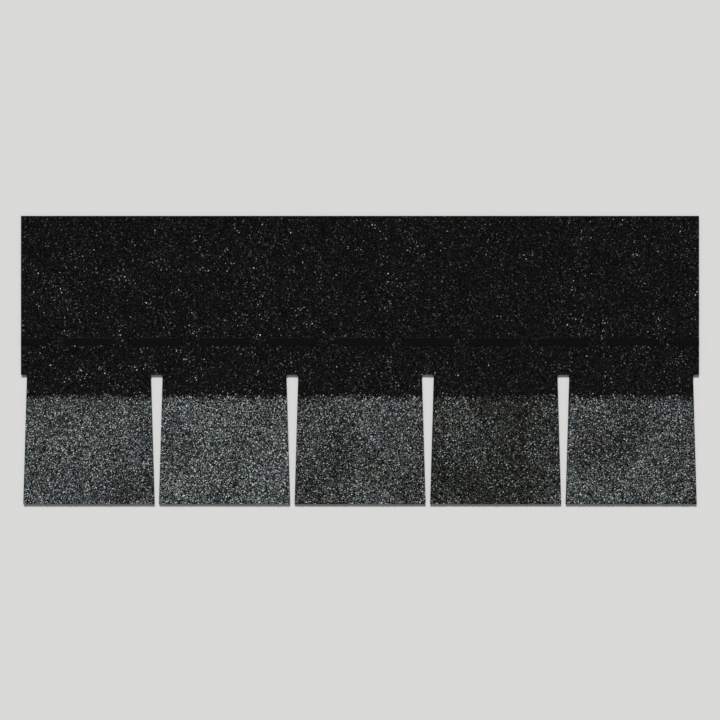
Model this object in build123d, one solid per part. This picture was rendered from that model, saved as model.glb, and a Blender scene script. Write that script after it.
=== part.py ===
from build123d import *
import os

# A five-tab asphalt strip shingle with tapered slots, lying flat with its granules up.
# +X runs along the shingle, +Y up the roof from the butt edge to the head edge, and +Z out
# of the roof. The origin is the middle of the back face. Sizes are in millimetres.

# Sheet: a glass mat soaked and coated with filled asphalt, granules rolled into its face
tab_count = 5
tab_pitch = 203.2
shingle_height = 431.8
sheet_thickness = 3.6

# Slots: die-cut from the butt edge up past the exposure line, widening up the roof
slot_height = 193.7
slot_width_at_butt = 7.0
slot_width_at_head = 18.0
slot_corner_radius = 2.5

# Sealant: bitumen dashes laid on the face of the running web, then cut through with it
sealant_above_butt = 243.5
dashes_per_tab = 2
dash_gap = 25.4
dash_width = 12.7
dash_height = 1.0
dash_edge_radius = 0.8

# Release film: pressed flush into the back coating under the sealant line, end to end
film_width = 38.1
film_thickness = 0.1

shingle_length = tab_count * tab_pitch
butt_edge = -shingle_height / 2
sealant_line = butt_edge + sealant_above_butt
dash_pitch = tab_pitch / dashes_per_tab
dash_length = dash_pitch - dash_gap
dash_count = tab_count * dashes_per_tab


def slot_profile():
    """One slot, narrow at the butt edge, with its two inner corners rounded by the die."""
    half_butt = slot_width_at_butt / 2
    half_head = slot_width_at_head / 2
    outline = Polyline(
        (-half_butt, 0), (half_butt, 0), (half_head, slot_height), (-half_head, slot_height), close=True
    )
    slot = make_face(outline)
    return fillet(slot.vertices().group_by(Axis.Y)[-1], slot_corner_radius)


def film():
    """The release film, with its lower face level with the back of the sheet."""
    strip = Rectangle(shingle_length, film_width)
    return extrude(Pos(0, sealant_line) * strip, film_thickness)


def sheet():
    """The blank less one slot at each tab joint, half a slot at each end, and the film's seat."""
    blank = Rectangle(shingle_length, shingle_height)
    slot_places = GridLocations(tab_pitch, 0, tab_count + 1, 1)
    slots = Pos(0, butt_edge) * slot_places * slot_profile()
    return extrude(blank - slots, sheet_thickness) - film()


def sealant():
    """A dash over every tab's middle and over every slot, the end ones cut off with the web."""
    dash = extrude(SlotOverall(dash_length, dash_width), dash_height)
    dash = fillet(dash.edges().group_by(Axis.Z)[-1], dash_edge_radius)
    dash_places = GridLocations(dash_pitch, 0, dash_count + 1, 1)
    web = extrude(Rectangle(shingle_length, dash_width), dash_height)
    row = Part() + [place * dash for place in dash_places]
    return Pos(0, sealant_line, sheet_thickness) * (row & web)


os.makedirs("parts", exist_ok=True)
for node, shape in {"shingle_sheet": sheet(), "sealant_strip": sealant(), "release_film": film()}.items():
    shape.label = node
    export_step(shape, f"parts/{node}.step")
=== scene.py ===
from math import cos, radians, sin

import bmesh
import bpy
import numpy as np
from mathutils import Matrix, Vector


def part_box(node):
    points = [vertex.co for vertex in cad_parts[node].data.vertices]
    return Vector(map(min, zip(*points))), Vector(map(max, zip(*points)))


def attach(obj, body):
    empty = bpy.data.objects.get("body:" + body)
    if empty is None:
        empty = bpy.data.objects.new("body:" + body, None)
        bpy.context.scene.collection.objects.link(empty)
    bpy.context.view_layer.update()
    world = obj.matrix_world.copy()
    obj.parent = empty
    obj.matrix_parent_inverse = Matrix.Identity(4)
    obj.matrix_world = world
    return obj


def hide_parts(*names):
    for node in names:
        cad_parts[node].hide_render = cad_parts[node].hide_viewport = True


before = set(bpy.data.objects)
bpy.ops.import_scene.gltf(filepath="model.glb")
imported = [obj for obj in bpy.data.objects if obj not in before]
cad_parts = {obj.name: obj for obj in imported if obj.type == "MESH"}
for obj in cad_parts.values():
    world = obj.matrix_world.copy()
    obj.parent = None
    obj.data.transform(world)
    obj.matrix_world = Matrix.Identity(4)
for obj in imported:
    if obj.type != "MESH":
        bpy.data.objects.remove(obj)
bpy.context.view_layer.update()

# Shingle sheet: a glass mat soaked and coated with limestone-filled asphalt, die-cut into tabs.
# Granules are rolled into its face while it is hot, and its back is dusted with fine sand.
# The CAD solid is its real shape, so it stays, and one material covers face, cut edges and back.

MM = 0.001
sheet_low, sheet_high = (Vector(corner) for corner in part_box("shingle_sheet"))
face_height = sheet_high.z
tab_count = 5
tab_pitch = (sheet_high.x - sheet_low.x) / tab_count

# Nearly all of Blender's noise lies between these two.
noise_range = {"From Min": 0.3, "From Max": 0.7}

# What each drop of granules is made of: the colour of the ceramic coat, and its share
pale_drop = (("#DBDFDD", 0.09), ("#AFB5B4", 0.17), ("#777E80", 0.22), ("#393D3D", 0.24), ("#0D0E0E", 0.28))
plain_blend = (("#CFD3D1", 0.06), ("#9BA09F", 0.13), ("#666C6C", 0.22), ("#313535", 0.27), ("#0C0D0D", 0.32))
dark_drop = (("#AFB1AB", 0.02), ("#73766F", 0.10), ("#464942", 0.22), ("#212320", 0.30), ("#0A0B0A", 0.36))
black_slag = (("#646664", 0.02), ("#373937", 0.08), ("#202120", 0.25), ("#121212", 0.37), ("#070707", 0.28))

# Tone of the blend: what counts as dark drop, plain blend and pale drop, and each tab's from the left.
# Soft clouds as large as a drop then make it paler or darker by up to half of their strength.
dark_tone = 0.0
plain_tone = 0.5
pale_tone = 1.0
tab_tones = (0.52, 0.70, 0.43, 0.05, 0.43)
drop_size = 110 * MM
drop_strength = 0.55

# Hue: how large its soft patches are, how strong it is, and how much of it is a granule's own
hue_size = 45 * MM
hue_strength = 0.16
own_hue = 0.35

# All above the exposure line is black granules, and 31 mm below it too, down to a loose and wavy edge.
# A few coloured strays lie among the black ones, and more of them in patches.
exposure = 190.5 * MM
band_depth = 31 * MM
band_edge = sheet_low.y + exposure - band_depth
band_fuzz = 12 * MM
band_wave = 5 * MM
band_wave_size = 35 * MM
fewest_strays = 0.005
most_strays = 0.10
stray_patch_edge = 0.45
stray_patch_middle = 0.75


def linear(colour):
    """An sRGB hex colour as the linear RGBA that Blender's sockets take."""
    parts = [int(colour[i : i + 2], 16) / 255 for i in (1, 3, 5)]
    return [p / 12.92 if p <= 0.04045 else ((p + 0.055) / 1.055) ** 2.4 for p in parts] + [1.0]


def add(tree, kind, inputs=(), **settings):
    """Adds a shader node. An input is a socket to link or a plain value; settings are the node's own.

    A colour Mix takes its two colours at inputs 6 and 7, and gives the mixed one at output 2.
    """
    node = tree.nodes.new("ShaderNode" + kind)
    for name, value in settings.items():
        setattr(node, name, value)
    for place, value in dict(inputs).items():
        if isinstance(value, bpy.types.NodeSocket):
            tree.links.new(value, node.inputs[place])
        else:
            node.inputs[place].default_value = value
    return node


def new_material(name, roughness=0.5, ior=1.5, specular=0.5):
    """A new material with one Principled shader: gives the material, its node tree and the shader."""
    material = bpy.data.materials.new(name)
    material.use_nodes = True
    shader = material.node_tree.nodes["Principled BSDF"]
    shader.inputs["Roughness"].default_value = roughness
    shader.inputs["IOR"].default_value = ior
    shader.inputs["Specular IOR Level"].default_value = specular
    return material, material.node_tree, shader


def tone_of_blend(tree, place, along):
    """How pale the blend is at a place: a step at every slot, and soft drops across the web."""
    ends = {"From Min": sheet_low.x, "From Max": sheet_high.x}
    share = add(tree, "MapRange", {"Value": along, **ends}).outputs[0]
    tones = add(tree, "ValToRGB", {"Fac": share})
    stops = tones.color_ramp
    stops.interpolation = "CONSTANT"
    for i, tone in enumerate(tab_tones):
        # A new ramp has two stops already
        stop = stops.elements[i] if i < 2 else stops.elements.new(i / tab_count)
        stop.position = i / tab_count
        stop.color = (tone, tone, tone, 1)
    clouds = add(tree, "TexNoise", {"Vector": place, "Scale": 1 / drop_size, "Detail": 1.5}).outputs["Fac"]
    shifts = {"To Min": -drop_strength / 2, "To Max": drop_strength / 2}
    drift = add(tree, "MapRange", {"Value": clouds, **noise_range, **shifts}).outputs[0]
    return add(tree, "Math", {0: tones.outputs["Color"], 1: drift}, operation="ADD").outputs[0]


def share_of_black(tree, place, up):
    """How many granules are black at a place: nearly all above the band's lower edge, and none below."""
    waves = {"Vector": place, "Scale": 1 / band_wave_size, "Detail": 1.0}
    wave = add(tree, "TexNoise", waves).outputs["Fac"]
    shift = add(tree, "MapRange", {"Value": wave, "To Min": -band_wave, "To Max": band_wave}).outputs[0]
    height = add(tree, "Math", {0: up, 1: shift}, operation="ADD").outputs[0]
    edge = {"From Min": band_edge - band_fuzz / 2, "From Max": band_edge + band_fuzz / 2}
    black = add(tree, "MapRange", {"Value": height, **edge}).outputs[0]
    patches = {"From Min": stray_patch_edge, "From Max": stray_patch_middle}
    shares = {"To Min": fewest_strays, "To Max": most_strays}
    strays = add(tree, "MapRange", {"Value": wave, **patches, **shares}).outputs[0]
    return add(tree, "Math", {0: black, 1: strays}, operation="SUBTRACT").outputs[0]


def hue_drift(tree, place, chances):
    """A tint near white: coats fire bluer, greener or browner in patches, and each granule a little."""
    patches = {"Vector": place, "Scale": 1 / hue_size, "Detail": 1.0}
    patch = add(tree, "TexNoise", patches).outputs["Color"]
    own = add(tree, "TexWhiteNoise", {"Vector": chances}).outputs["Color"]
    inputs = {0: own, 1: (own_hue,) * 3, 2: patch}
    both = add(tree, "VectorMath", inputs, operation="MULTIPLY_ADD").outputs[0]
    # The middle of both together has to give pure white, so that the blend stays as pale as it was.
    middle = 0.5 + own_hue / 2
    inputs = {0: both, 1: (hue_strength,) * 3, 2: (1 - hue_strength * middle,) * 3}
    return add(tree, "VectorMath", inputs, operation="MULTIPLY_ADD").outputs[0]


def granule_colour(tree, chances):
    """Each granule's colour, from its place and three chances: which colour, which drop, black or not."""
    place = add(tree, "TexCoord").outputs["Object"]
    along, up, _ = add(tree, "SeparateXYZ", {0: place}).outputs
    colour_chance, drop_chance, black_chance = add(tree, "SeparateXYZ", {0: chances}).outputs
    drawn = []
    for recipe in (plain_blend, pale_drop, dark_drop, black_slag):
        ramp = add(tree, "ValToRGB", {"Fac": colour_chance})
        stops = ramp.color_ramp
        stops.interpolation = "CONSTANT"
        start = 0.0
        for i, (coat, share) in enumerate(recipe):
            stop = stops.elements[i] if i < 2 else stops.elements.new(start)
            stop.position = start
            stop.color = linear(coat)
            start += share
        drawn.append(ramp.outputs["Color"])
    colour, pale, dark, black = drawn
    tone = tone_of_blend(tree, place, along)
    to_pale = {"Value": tone, "From Min": plain_tone, "From Max": pale_tone}
    pale_share = add(tree, "MapRange", to_pale).outputs[0]
    to_dark = {"Value": tone, "From Min": plain_tone, "From Max": dark_tone}
    dark_share = add(tree, "MapRange", to_dark).outputs[0]
    for chance, share, other in (
        (drop_chance, pale_share, pale),
        (drop_chance, dark_share, dark),
        (black_chance, share_of_black(tree, place, up), black),
    ):
        taken = add(tree, "Math", {0: chance, 1: share}, operation="LESS_THAN").outputs[0]
        colour = add(tree, "Mix", {0: taken, 6: colour, 7: other}, data_type="RGBA").outputs[2]
    tint = hue_drift(tree, place, chances)
    return add(tree, "VectorMath", {0: colour, 1: tint}, operation="MULTIPLY").outputs[0]


# Fine granules, and how far each is mixed towards near-black: partly the asphalt they are sunk in, and
# partly painted shade for the gaps between the large granules
fines_size = 0.9 * MM
hidden_and_shaded_share = 0.65
asphalt_and_gap_shade_colour = "#060606"


def bed_of_fines(tree, place):
    """Fine granules half sunk in asphalt between the large ones: the same colours, darkened, partly by the
    asphalt and partly as painted shade in the gaps.
    """
    cells = add(tree, "TexVoronoi", {"Vector": place, "Scale": 1 / fines_size})
    fine = granule_colour(tree, cells.outputs["Color"])
    # The mix towards near-black is partly the asphalt's own colour and partly painted shade between the
    # large granules.
    inputs = {0: hidden_and_shaded_share, 6: fine, 7: linear(asphalt_and_gap_shade_colour)}
    return add(tree, "Mix", inputs, data_type="RGBA").outputs[2], cells.outputs["Distance"]


# Limestone filler is a powder and glass fibres are hair-thin. Both are drawn coarser here, to show.
filler_size = 0.6 * MM
filler_low = 0.35
filler_high = 0.75
filled_asphalt_colour = "#0D0D0E"
cut_filler_colour = "#2A2A29"
mat_height = 1.6 * MM
mat_thickness = 0.5 * MM
fibre_size = 0.3 * MM
fibre_ends_above = 0.55
fibre_colour = "#6E675A"


def cut_edge(tree, place, height):
    """Filled asphalt cut by the die: black and gritty, with the mat's fibre ends in a pale broken line."""
    grit = add(tree, "TexNoise", {"Vector": place, "Scale": 1 / filler_size, "Detail": 3.0}).outputs["Fac"]
    bareness = {"Value": grit, "From Min": filler_low, "From Max": filler_high}
    bare = add(tree, "MapRange", bareness).outputs[0]
    inputs = {0: bare, 6: linear(filled_asphalt_colour), 7: linear(cut_filler_colour)}
    asphalt = add(tree, "Mix", inputs, data_type="RGBA").outputs[2]
    inputs = {0: height, 1: mat_height, 2: mat_thickness / 2}
    in_mat = add(tree, "Math", inputs, operation="COMPARE").outputs[0]
    fibres = add(tree, "TexNoise", {"Vector": place, "Scale": 1 / fibre_size, "Detail": 1.0}).outputs["Fac"]
    fibre_ends = add(tree, "Math", {0: fibres, 1: fibre_ends_above}, operation="GREATER_THAN").outputs[0]
    shown = add(tree, "Math", {0: in_mat, 1: fibre_ends}, operation="MULTIPLY").outputs[0]
    inputs = {0: shown, 6: asphalt, 7: linear(fibre_colour)}
    return add(tree, "Mix", inputs, data_type="RGBA").outputs[2], grit


# Real sand dusting is 0.2 to 0.4 mm. It is drawn at twice that, to show.
sand_size = 0.8 * MM
dust_patch = 60 * MM
dust_low = 0.1
dust_high = 0.6
coated_sand_colour = "#191919"
bare_sand_colour = "#6A6862"


def dusted_back(tree, place):
    """Fine sand pressed into the coating, in thick and thin patches: a dull, dark grey, rough back."""
    sand = add(tree, "TexVoronoi", {"Vector": place, "Scale": 1 / sand_size})
    dust = add(tree, "TexNoise", {"Vector": place, "Scale": 1 / dust_patch, "Detail": 4.0}).outputs["Fac"]
    grain = add(tree, "SeparateXYZ", {0: sand.outputs["Color"]}).outputs[0]
    amount = add(tree, "Math", {0: grain, 1: dust}, operation="MULTIPLY").outputs[0]
    bareness = {"Value": amount, "From Min": dust_low, "From Max": dust_high}
    bare = add(tree, "MapRange", bareness).outputs[0]
    inputs = {0: bare, 6: linear(coated_sand_colour), 7: linear(bare_sand_colour)}
    return add(tree, "Mix", inputs, data_type="RGBA").outputs[2], sand.outputs["Distance"]


# What lies within this of the face or of the back belongs to it, and the rest is cut edge.
skin = 0.02 * MM
grain_relief = 0.4 * MM


def shingle_sheet_material():
    """Coated and dusted asphalt web: matt, with a granule bed, gritty cut edges and a sandy back."""
    material, tree, shader = new_material("granule_surfaced_asphalt", roughness=0.9, specular=0.03)
    place = add(tree, "TexCoord").outputs["Object"]
    height = add(tree, "SeparateXYZ", {0: place}).outputs[2]
    on_face = add(tree, "Math", {0: height, 1: face_height - skin}, operation="GREATER_THAN").outputs[0]
    on_back = add(tree, "Math", {0: height, 1: skin}, operation="LESS_THAN").outputs[0]
    colour, relief = cut_edge(tree, place, height)
    for on_side, (side_colour, side_relief) in (
        (on_face, bed_of_fines(tree, place)),
        (on_back, dusted_back(tree, place)),
    ):
        colour = add(tree, "Mix", {0: on_side, 6: colour, 7: side_colour}, data_type="RGBA").outputs[2]
        relief = add(tree, "Mix", {0: on_side, 2: relief, 3: side_relief}, data_type="FLOAT").outputs[0]
    tree.links.new(colour, shader.inputs["Base Color"])
    # Distance grows away from the middle of a grain, so the relief is turned over.
    bump = add(tree, "Bump", {"Strength": 0.8, "Distance": grain_relief, "Height": relief}, invert=True)
    tree.links.new(bump.outputs["Normal"], shader.inputs["Normal"])
    return material


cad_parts["shingle_sheet"].material_slots[0].material = shingle_sheet_material()

# Granules: crushed stone with a fired ceramic coat, rolled half-way into the hot asphalt.
# Each is a small angular stone of its own, and the roller leaves their tops about level.
# Those at a cut are cut flush, as the die leaves them, and none lies under the sealant.

# Real ones are 0.5 to 1.7 mm. These are 1.3 to 2.6 mm across, coarser than real so that they show,
# and they overlap. The finer ones between them are the sheet's bed of fines.
granule_pitch = 1.6 * MM
granule_size = (0.55 * granule_pitch, 0.9 * granule_pitch)
granule_shake = 0.38 * granule_pitch
granule_rise = 0.05 * MM
rolled_height = 0.8 * MM
cut_margin = 0.3 * granule_pitch

# Two shapes of crushed stone, each as corners and faces: a block, and a chip for the black headlap.
# Every stone has its corners drawn in or out, each by its own amount, is turned at random and flattened.
block = (
    np.array(((1, 0, 0), (-0.5, 0.87, 0), (-0.5, -0.87, 0), (0, 0, 0.9), (0, 0, -0.9))),
    np.array(((0, 1, 3), (1, 2, 3), (2, 0, 3), (1, 0, 4), (2, 1, 4), (0, 2, 4))),
)
chip = (
    np.array(((1.04, 0, -0.37), (-0.52, 0.9, -0.37), (-0.52, -0.9, -0.37), (0, 0, 1.1))),
    np.array(((0, 1, 3), (1, 2, 3), (2, 0, 3), (0, 2, 1))),
)
corner_reach = (0.75, 1.2)
granule_flatness = 0.75

# Where the die cuts the slots and where the sealant lies, as in the CAD
slot_top = sheet_low.y + 193.7 * MM
slot_half_at_butt = 7.0 * MM / 2
slot_half_at_head = 18.0 * MM / 2
dash_low, dash_high = (Vector(corner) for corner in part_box("sealant_strip"))
dash_pitch = tab_pitch / 2
dash_gap = 25.4 * MM
dash_length = dash_pitch - dash_gap


def slot_half(y):
    """Half the width of a slot at this height, up to its closed end."""
    up = np.clip((y - sheet_low.y) / (slot_top - sheet_low.y), 0, 1)
    return slot_half_at_butt + (slot_half_at_head - slot_half_at_butt) * up


def random_turns(count, draw):
    """Random rotation matrices, as many as count says, from quaternions."""
    q = draw.normal(size=(count, 4))
    w, x, y, z = (q / np.linalg.norm(q, axis=1, keepdims=True)).T
    rows = (
        (1 - 2 * (y * y + z * z), 2 * (x * y - z * w), 2 * (x * z + y * w)),
        (2 * (x * y + z * w), 1 - 2 * (x * x + z * z), 2 * (y * z - x * w)),
        (2 * (x * z - y * w), 2 * (y * z + x * w), 1 - 2 * (x * x + y * y)),
    )
    return np.array(rows).transpose(2, 0, 1)


def scattered(low, high, draw):
    """Places in a rectangle, close together and in no rows: those of a honeycomb, each one shaken."""
    columns = int((high[0] - low[0]) / granule_pitch)
    rows = int((high[1] - low[1]) / (granule_pitch * cos(radians(30))))
    i, j = np.meshgrid(np.arange(columns), np.arange(rows))
    x = low[0] + (i + 0.5 + (j % 2 - 0.5) / 2) * (high[0] - low[0]) / columns
    y = low[1] + (j + 0.5) * (high[1] - low[1]) / rows
    shake = draw.uniform(-granule_shake, granule_shake, (2, rows, columns))
    return (x + shake[0]).ravel(), (y + shake[1]).ravel()


def cut_flush(corners, below_top, left):
    """Moves corners that pass a cut back to it: the slots' sides and ends, and the sheet's own edges."""
    x, y = corners[:, :, 0], corners[:, :, 1]
    right = left + tab_pitch
    side = slot_half(y)
    by_side = np.clip(x, left + side, right - side)
    by_end = np.clip(x, sheet_low.x, sheet_high.x)
    over_slot = np.minimum(np.abs(x - left), np.abs(right - x)) < slot_half_at_head
    corners[:, :, 0] = np.where(below_top[:, None], by_side, by_end)
    y = np.where(over_slot & ~below_top[:, None], np.maximum(y, slot_top), y)
    corners[:, :, 1] = np.clip(y, sheet_low.y, sheet_high.y)


def granules(name, left, low_y, high_y, stone, seed):
    """The granules on one tab's width of the sheet, between two heights, as one mesh of closed stones."""
    draw = np.random.default_rng(seed)
    stone_corners, stone_faces = stone
    x, y = scattered((left, low_y), (left + tab_pitch, high_y), draw)
    below_top = y < slot_top
    off_slot = np.minimum(x - left, left + tab_pitch - x) - slot_half(y) * below_top
    off_middle = np.abs((x - dash_low.x + dash_pitch / 2) % dash_pitch - dash_pitch / 2)
    under_dash = (off_middle < dash_length / 2) & (y > dash_low.y) & (y < dash_high.y)
    kept = (off_slot > cut_margin) & ~under_dash
    x, y, below_top = x[kept], y[kept], below_top[kept]
    count = len(x)
    size = draw.uniform(*granule_size, count)
    shape = stone_corners * draw.uniform(*corner_reach, (count, len(stone_corners), 1))
    shape = np.einsum("nij,nkj->nki", random_turns(count, draw), shape) * size[:, None, None]
    shape[:, :, 2] *= granule_flatness
    corners = shape + np.stack((x, y, np.full(count, face_height + granule_rise)), 1)[:, None, :]
    corners[:, :, 2] = np.minimum(corners[:, :, 2], face_height + rolled_height)
    cut_flush(corners, below_top, left)
    corners = corners.reshape(-1, 3)
    faces = (stone_faces + np.arange(count)[:, None, None] * len(stone_corners)).reshape(-1, 3)
    # Faces made this way are flat-shaded, as the facets of crushed stone are.
    mesh = bpy.data.meshes.new(name)
    mesh.from_pydata(corners, [], faces)
    chances = np.repeat(draw.uniform(0, 1, (count, 3)), len(stone_corners), 0)
    mesh.attributes.new("chances", "FLOAT_VECTOR", "POINT").data.foreach_set("vector", chances.ravel())
    # The map is the face seen from above, so that every stone has a place of its own on it.
    plan = corners[:, :2]
    plan = (plan - plan.min(0)) / np.ptp(plan, axis=0)
    mesh.uv_layers.new(name="OFBake").data.foreach_set("uv", plan[faces.ravel()].ravel())
    piece = bpy.data.objects.new(name, mesh)
    bpy.context.scene.collection.objects.link(piece)
    return piece


mottle_size = 0.5 * MM
darkest_mottle = 0.85
palest_mottle = 1.15
pit_depth = 0.1 * MM


def granule_material():
    """Crushed stone with a fired ceramic coat: matt, each stone in its own colour, finely pitted."""
    material, tree, shader = new_material("ceramic_coated_granules", roughness=0.75, specular=0.03)
    chances = add(tree, "Attribute", attribute_name="chances").outputs["Vector"]
    place = add(tree, "TexCoord").outputs["Object"]
    spots = {"Vector": place, "Scale": 1 / mottle_size, "Detail": 2.0}
    mottle = add(tree, "TexNoise", spots).outputs["Fac"]
    shades = {"To Min": darkest_mottle, "To Max": palest_mottle}
    shade = add(tree, "MapRange", {"Value": mottle, **noise_range, **shades}).outputs[0]
    inputs = {0: granule_colour(tree, chances), "Scale": shade}
    mottled = add(tree, "VectorMath", inputs, operation="SCALE").outputs[0]
    tree.links.new(mottled, shader.inputs["Base Color"])
    bump = add(tree, "Bump", {"Strength": 0.4, "Distance": pit_depth, "Height": mottle})
    tree.links.new(bump.outputs["Normal"], shader.inputs["Normal"])
    return material


coated_granules = granule_material()
for column in range(tab_count):
    left = sheet_low.x + column * tab_pitch
    for part, low_y, high_y, stone, first_seed in (
        ("tab", sheet_low.y, 0.0, block, 1),
        ("headlap", 0.0, sheet_high.y, chip, 11),
    ):
        name = f"{part}_granules_{column + 1}"
        piece = granules(name, left, low_y, high_y, stone, first_seed + column)
        piece.data.materials.append(coated_granules)
        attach(piece, "root")

# Sealant: dashes of soft modified bitumen laid hot across the face, which bond to the next course.
# A dash has round ends and a soft shoulder, and it sags over the granules, so its skin and its outline
# are lumpy. The web is cut to length through the end ones. They are the only glossy thing on the face.

dash_width = dash_high.y - dash_low.y
dash_height = dash_high.z - dash_low.z
dash_shoulder = 0.7 * MM
dash_grid = 1.0 * MM
dash_sag = 0.8 * MM
sag_size = 2.4 * MM
hair = 0.01 * MM
flush = 0.001 * MM
smooth_below = radians(50)


def select(piece, wanted):
    """In edit mode, selects the corners that wanted says yes to, and the edges and faces between them."""
    bpy.ops.mesh.select_mode(type="VERT")
    bpy.ops.mesh.select_all(action="DESELECT")
    shape = bmesh.from_edit_mesh(piece.data)
    for corner in shape.verts:
        corner.select = wanted(corner.co)
    shape.select_flush_mode()
    bmesh.update_edit_mesh(piece.data)


def whole_dash():
    """One dash about its own middle, with its base on the floor, cut up finely so that it can sag."""
    bpy.ops.object.select_all(action="DESELECT")
    bpy.ops.mesh.primitive_circle_add(vertices=32, radius=dash_width / 2, fill_type="NGON")
    dash = bpy.context.active_object
    bpy.ops.object.mode_set(mode="EDIT")
    for way in (-1, 1):
        select(dash, lambda corner: corner.x * way > hair)
        bpy.ops.transform.translate(value=(way * (dash_length - dash_width) / 2, 0, 0))
    bpy.ops.mesh.select_all(action="SELECT")
    bpy.ops.mesh.extrude_region_move(TRANSFORM_OT_translate={"value": (0, 0, dash_height)})
    select(dash, lambda corner: corner.z > dash_height / 2)
    bpy.ops.mesh.bevel(offset=dash_shoulder, segments=3, affect="EDGES")
    for size, across in ((dash_length, (1, 0, 0)), (dash_width, (0, 1, 0))):
        for cut in np.arange(-size / 2 + dash_grid, size / 2 - dash_grid / 2, dash_grid):
            bpy.ops.mesh.select_all(action="SELECT")
            bpy.ops.mesh.bisect(plane_co=Vector(across) * cut, plane_no=across)
    bpy.ops.mesh.select_all(action="SELECT")
    bpy.ops.mesh.normals_make_consistent(inside=False)
    # The base stays flat on the sheet, and all above it sags.
    select(dash, lambda corner: corner.z > hair)
    bpy.ops.object.vertex_group_assign_new()
    bpy.ops.object.mode_set(mode="OBJECT")
    return dash


def row_of_dashes(dash):
    """A dash over every tab's middle and every slot, joined, sagged, and cut flush at the sheet's ends."""
    row = []
    for i in range(2 * tab_count + 1):
        copy = dash.copy()
        copy.data = dash.data.copy()
        copy.location = (dash_low.x + i * dash_pitch, (dash_low.y + dash_high.y) / 2, dash_low.z)
        bpy.context.scene.collection.objects.link(copy)
        row.append(copy)
    bpy.data.objects.remove(dash)
    bpy.ops.object.select_all(action="DESELECT")
    for copy in row:
        copy.select_set(True)
    joined = row[0]
    bpy.context.view_layer.objects.active = joined
    bpy.ops.object.join()
    bpy.ops.object.transform_apply(location=True)
    lumps = bpy.data.textures.new("sagged_skin", "CLOUDS")
    lumps.noise_scale = sag_size
    sag = joined.modifiers.new("sag", "DISPLACE")
    sag.texture = lumps
    sag.strength = dash_sag
    # With its middle at 1 the sag only sinks, so no dash stands higher than in the CAD.
    sag.mid_level = 1.0
    sag.vertex_group = joined.vertex_groups[0].name
    bpy.ops.object.modifier_apply(modifier=sag.name)
    bpy.ops.object.mode_set(mode="EDIT")
    for end, outward in ((sheet_low.x, -1), (sheet_high.x, 1)):
        bpy.ops.mesh.select_all(action="SELECT")
        bpy.ops.mesh.bisect(
            plane_co=(end, 0, 0),
            plane_no=(outward, 0, 0),
            threshold=flush,
            use_fill=True,
            clear_outer=True,
        )
    bpy.ops.object.mode_set(mode="OBJECT")
    bpy.ops.object.shade_smooth_by_angle(angle=smooth_below)
    return joined


# Bitumen's full gloss would show the dashes as grey bars from above, so most of it is taken off.
sealant_gloss = 0.05
least_rough = 0.28
most_rough = 0.44
wrinkle_size = 1.2 * MM
wrinkle_depth = 0.1 * MM
bitumen_low_colour = "#010101"
bitumen_high_colour = "#050504"


def sealant_material():
    """Bitumen laid hot: blacker than the granules from above, glossy at a low angle, finely wrinkled."""
    material, tree, shader = new_material("sealant_bitumen", ior=1.6, specular=sealant_gloss)
    place = add(tree, "TexCoord").outputs["Object"]
    wrinkles = {"Vector": place, "Scale": 1 / wrinkle_size, "Detail": 3.0}
    wrinkle = add(tree, "TexNoise", wrinkles).outputs["Fac"]
    gloss = {"To Min": least_rough, "To Max": most_rough}
    roughness = add(tree, "MapRange", {"Value": wrinkle, **noise_range, **gloss}).outputs[0]
    tree.links.new(roughness, shader.inputs["Roughness"])
    inputs = {0: wrinkle, 6: linear(bitumen_low_colour), 7: linear(bitumen_high_colour)}
    tint = add(tree, "Mix", inputs, data_type="RGBA").outputs[2]
    tree.links.new(tint, shader.inputs["Base Color"])
    bump = add(tree, "Bump", {"Strength": 0.5, "Distance": wrinkle_depth, "Height": wrinkle})
    tree.links.new(bump.outputs["Normal"], shader.inputs["Normal"])
    return material


dashes = row_of_dashes(whole_dash())
dashes.name = "sealant_dashes"
dashes.data.materials.append(sealant_material())
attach(dashes, "root")
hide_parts("sealant_strip")

# Release film: thin polyester pressed into the back coating, end to end of the sheet.
# It keeps the dashes of the shingle below from sticking in the bundle. It is smooth and shiny.
# The CAD solid is its real shape, so it stays and only gets its material.

# The film comes off its roll under tension, so its patches of air are long, and its creases longer.
air_patch = 16 * MM
air_patch_stretch = 0.3
air_low = 0.46
air_high = 0.62
clinging_colour = "#121314"
over_air_colour = "#474A4B"
clinging_rough = 0.12
over_air_rough = 0.3
fold_size = 7 * MM
fold_stretch = 0.06
crease_width = 0.03

# The sand behind prints through the film where it is loose. It is drawn coarser than real, to show.
print_size = 1.1 * MM
print_share = 0.6
film_relief = 0.4 * MM


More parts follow.
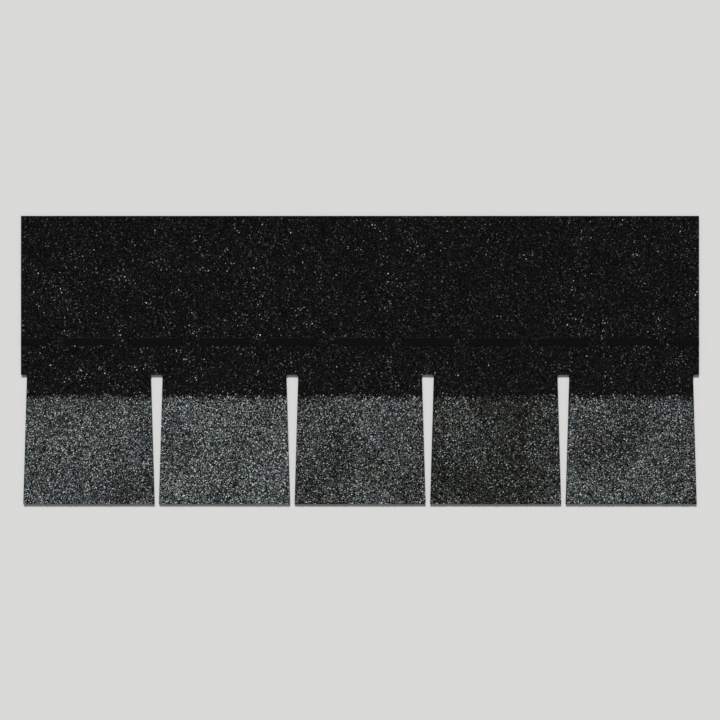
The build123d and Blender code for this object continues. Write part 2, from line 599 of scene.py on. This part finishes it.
def film_material():
    """Clear polyester: black where it clings, grey where air lies under it, finely creased, shiny."""
    material, tree, shader = new_material("polyester_film", ior=1.6)
    place = add(tree, "TexCoord").outputs["Object"]
    stretched = add(tree, "Mapping", {"Vector": place, "Scale": (air_patch_stretch, 1, 1)}).outputs[0]
    lifts = {"Vector": stretched, "Scale": 1 / air_patch, "Detail": 3.0}
    lift = add(tree, "TexNoise", lifts).outputs["Fac"]
    air = add(tree, "MapRange", {"Value": lift, "From Min": air_low, "From Max": air_high}).outputs[0]
    inputs = {0: air, 6: linear(clinging_colour), 7: linear(over_air_colour)}
    tint = add(tree, "Mix", inputs, data_type="RGBA").outputs[2]
    tree.links.new(tint, shader.inputs["Base Color"])
    gloss = {"Value": air, "To Min": clinging_rough, "To Max": over_air_rough}
    roughness = add(tree, "MapRange", gloss).outputs[0]
    tree.links.new(roughness, shader.inputs["Roughness"])
    # A crease runs wherever a drawn-out noise crosses its middle.
    drawn_out = add(tree, "Mapping", {"Vector": place, "Scale": (fold_stretch, 1, 1)}).outputs[0]
    folds = {"Vector": drawn_out, "Scale": 1 / fold_size, "Detail": 1.0}
    fold = add(tree, "TexNoise", folds).outputs["Fac"]
    off_fold = add(tree, "Math", {0: fold, 1: 0.5}, operation="SUBTRACT").outputs[0]
    off_fold = add(tree, "Math", {0: off_fold}, operation="ABSOLUTE").outputs[0]
    fade = {"From Min": 0.0, "From Max": crease_width, "To Min": 1.0, "To Max": 0.0}
    crease = add(tree, "MapRange", {"Value": off_fold, **fade}).outputs[0]
    grit = add(tree, "TexVoronoi", {"Vector": place, "Scale": 1 / print_size}).outputs["Distance"]
    printed = add(tree, "Math", {0: grit, 1: air}, operation="MULTIPLY").outputs[0]
    inputs = {0: printed, 1: print_share, 2: crease}
    raised = add(tree, "Math", inputs, operation="MULTIPLY_ADD").outputs[0]
    bump = add(tree, "Bump", {"Strength": 0.6, "Distance": film_relief, "Height": raised})
    tree.links.new(bump.outputs["Normal"], shader.inputs["Normal"])
    return material


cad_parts["release_film"].material_slots[0].material = film_material()

# Studio: a wide plain pale floor, a soft even key light from the head of the shingle, as in the
# photograph, and weak light from all round. The camera looks straight down, far off with a long lens.

pale_grey = "#DEDEDC"
floor_width = 60
floor_drop = 0.05 * MM
bpy.ops.object.select_all(action="DESELECT")
bpy.ops.mesh.primitive_plane_add(size=floor_width, location=(0, 0, -floor_drop))
floor = bpy.context.active_object
floor.name = "floor"
floor_paint, _, floor_shader = new_material("pale_floor", roughness=0.9, specular=0.25)
floor_shader.inputs["Base Color"].default_value = linear(pale_grey)
floor.data.materials.append(floor_paint)

key_height = radians(42)
key_side = radians(9)
key_data = bpy.data.lights.new("key", "SUN")
key_data.energy = 3.3
key_data.angle = radians(10)
key = bpy.data.objects.new("key", key_data)
key.location = (-cos(key_height) * sin(key_side), cos(key_height) * cos(key_side), sin(key_height))
key.rotation_euler = (-key.location).to_track_quat("-Z", "Y").to_euler()
bpy.context.scene.collection.objects.link(key)

# The camera and glossy surfaces see a backdrop of the floor's grey, and a weaker grey lights the object.
weak_light = 0.25
world = bpy.data.worlds.new("even_light")
world.use_nodes = True
backdrop = world.node_tree.nodes["Background"]
rays = add(world.node_tree, "LightPath").outputs
seen = rays["Is Camera Ray"]
for ray in ("Is Glossy Ray", "Is Transmission Ray"):
    seen = add(world.node_tree, "Math", {0: seen, 1: rays[ray]}, operation="MAXIMUM").outputs[0]
inputs = {0: seen, 6: (weak_light, weak_light, weak_light, 1), 7: linear(pale_grey)}
shade = add(world.node_tree, "Mix", inputs, data_type="RGBA").outputs[2]
world.node_tree.links.new(shade, backdrop.inputs["Color"])
bpy.context.scene.world = world
bpy.context.scene.view_settings.view_transform = "Standard"

camera_data = bpy.data.cameras.new("camera")
camera_data.lens = 100
camera = bpy.data.objects.new("camera", camera_data)
camera.location = (0, 0, 3.0)
bpy.context.scene.collection.objects.link(camera)
bpy.context.scene.camera = camera
